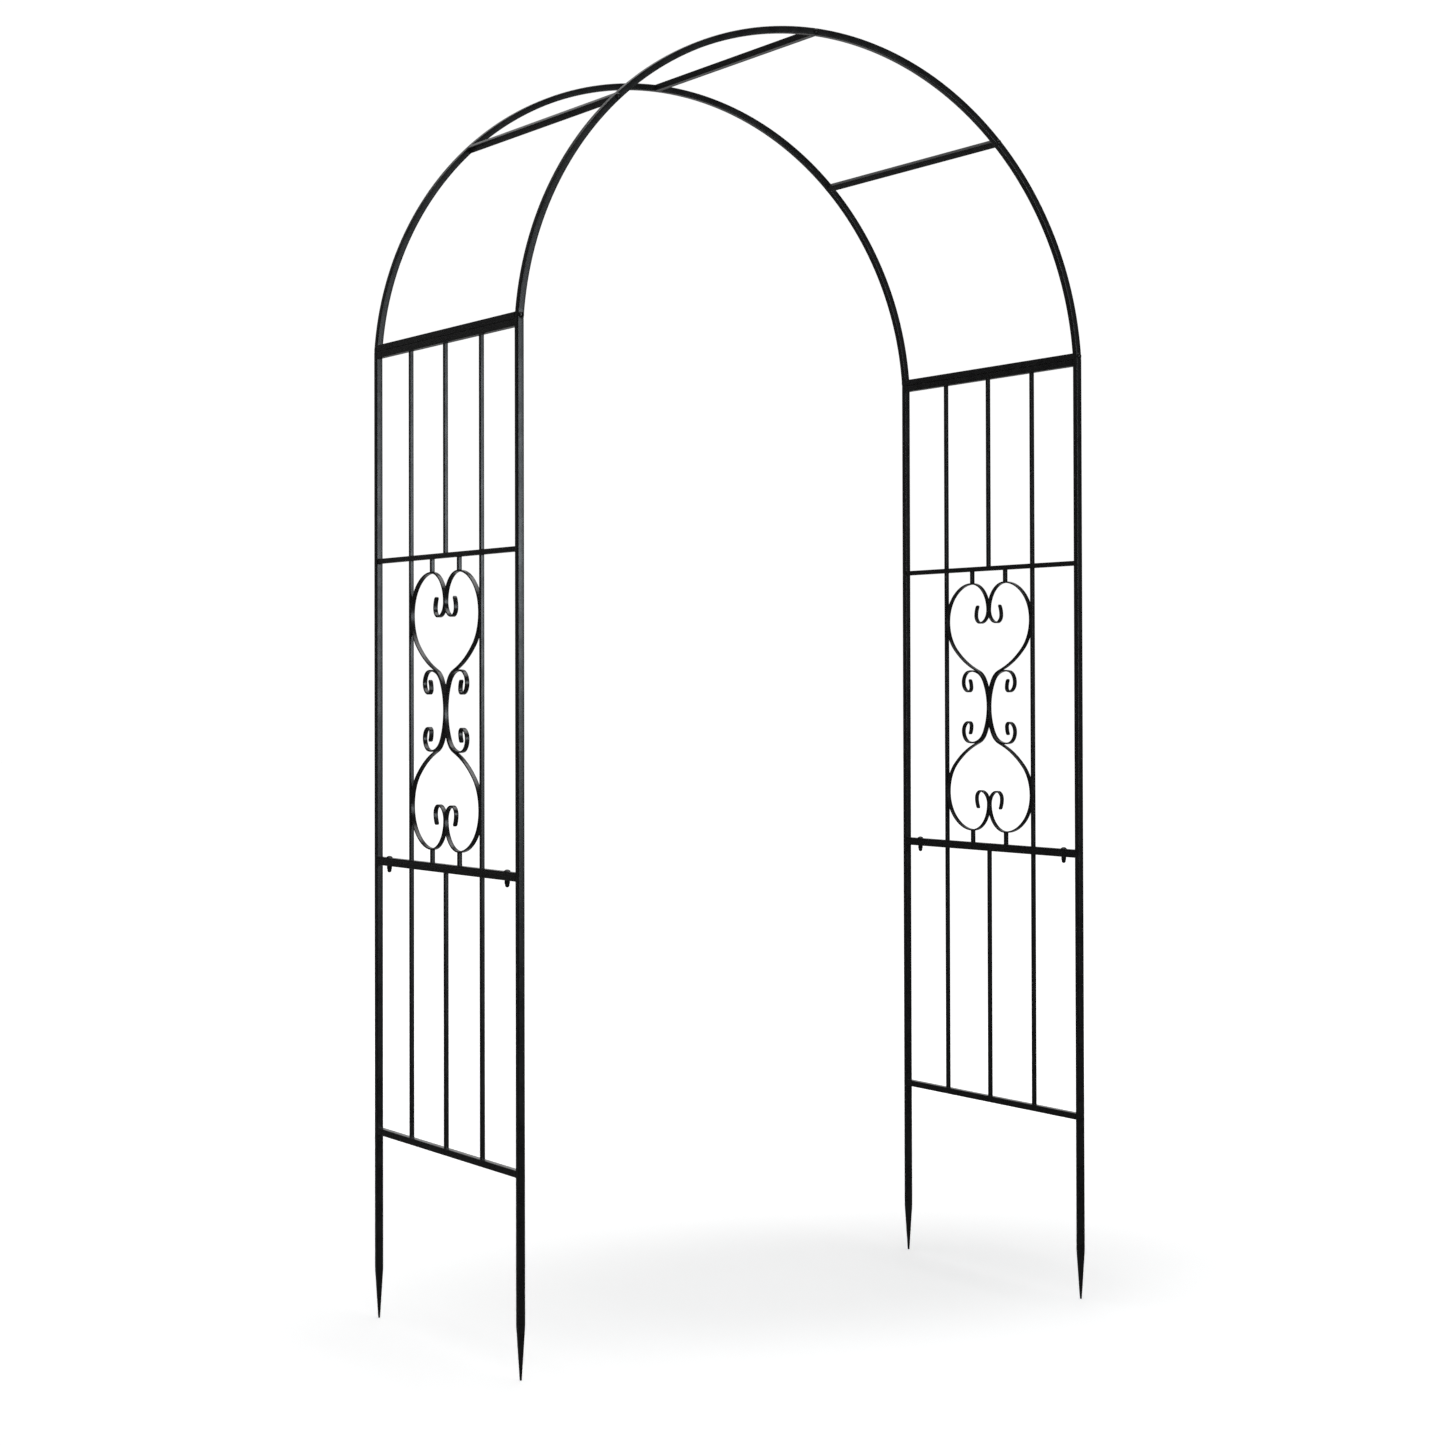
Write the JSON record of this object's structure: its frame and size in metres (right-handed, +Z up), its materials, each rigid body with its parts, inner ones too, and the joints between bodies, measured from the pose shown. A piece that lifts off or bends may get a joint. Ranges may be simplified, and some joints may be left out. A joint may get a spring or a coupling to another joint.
{
  "type": "garden trellis arch",
  "caption": "Black steel garden arch with barred side panels, heart-shaped scrollwork, two round hoops joined by crossbars, and posts that end in ground spikes.",
  "frame": {"origin": "on the ground at the centre of the footprint, midway between the posts", "axes": "+Z up, +X to the right along the span between the side panels, +Y to the rear through the walkway"},
  "size_m": [1.177, 0.58, 2.3001],
  "materials": {
    "tube_coating": "semi-gloss black powder coat",
    "scroll_coating": "semi-gloss black powder coat",
    "fastener_coating": "black zinc with worn edges"
  },
  "bodies": {
    "root": {"lower_post_front_left": "tube_coating", "lower_post_rear_left": "tube_coating", "lower_post_front_right": "tube_coating", "lower_post_rear_right": "tube_coating", "upper_post_front_left": "tube_coating", "upper_post_rear_left": "tube_coating", "upper_post_front_right": "tube_coating", "upper_post_rear_right": "tube_coating", "hoop_front_left": "tube_coating", "hoop_rear_left": "tube_coating", "hoop_front_right": "tube_coating", "hoop_rear_right": "tube_coating", "bottom_rail_left": "tube_coating", "bottom_rail_right": "tube_coating", "lower_top_rail_left": "tube_coating", "lower_top_rail_right": "tube_coating", "joint_strip_left": "tube_coating", "joint_strip_right": "tube_coating", "middle_rail_left": "tube_coating", "middle_rail_right": "tube_coating", "upper_top_rail_left": "tube_coating", "upper_top_rail_right": "tube_coating", "arch_base_rail_left": "tube_coating", "arch_base_rail_right": "tube_coating", "lower_bar_left_1": "tube_coating", "lower_bar_left_2": "tube_coating", "lower_bar_left_3": "tube_coating", "lower_bar_right_1": "tube_coating", "lower_bar_right_2": "tube_coating", "lower_bar_right_3": "tube_coating", "upper_bar_left_1": "tube_coating", "upper_bar_left_2": "tube_coating", "upper_bar_left_3": "tube_coating", "upper_bar_right_1": "tube_coating", "upper_bar_right_2": "tube_coating", "upper_bar_right_3": "tube_coating", "heart_upper_front_left": "scroll_coating", "heart_upper_rear_left": "scroll_coating", "heart_lower_front_left": "scroll_coating", "heart_lower_rear_left": "scroll_coating", "heart_upper_front_right": "scroll_coating", "heart_upper_rear_right": "scroll_coating", "heart_lower_front_right": "scroll_coating", "heart_lower_rear_right": "scroll_coating", "c_scroll_front_left": "scroll_coating", "c_scroll_rear_left": "scroll_coating", "c_scroll_front_right": "scroll_coating", "c_scroll_rear_right": "scroll_coating", "scroll_stubs_upper_left": "scroll_coating", "scroll_stubs_lower_left": "scroll_coating", "scroll_stubs_upper_right": "scroll_coating", "scroll_stubs_lower_right": "scroll_coating", "crossbar_left": "tube_coating", "crossbar_crown": "tube_coating", "crossbar_right": "tube_coating", "rail_bolts": "fastener_coating", "cap_nuts": "fastener_coating", "joint_screws": "fastener_coating", "crossbar_screws": "fastener_coating"}
  },
  "joints": []
}
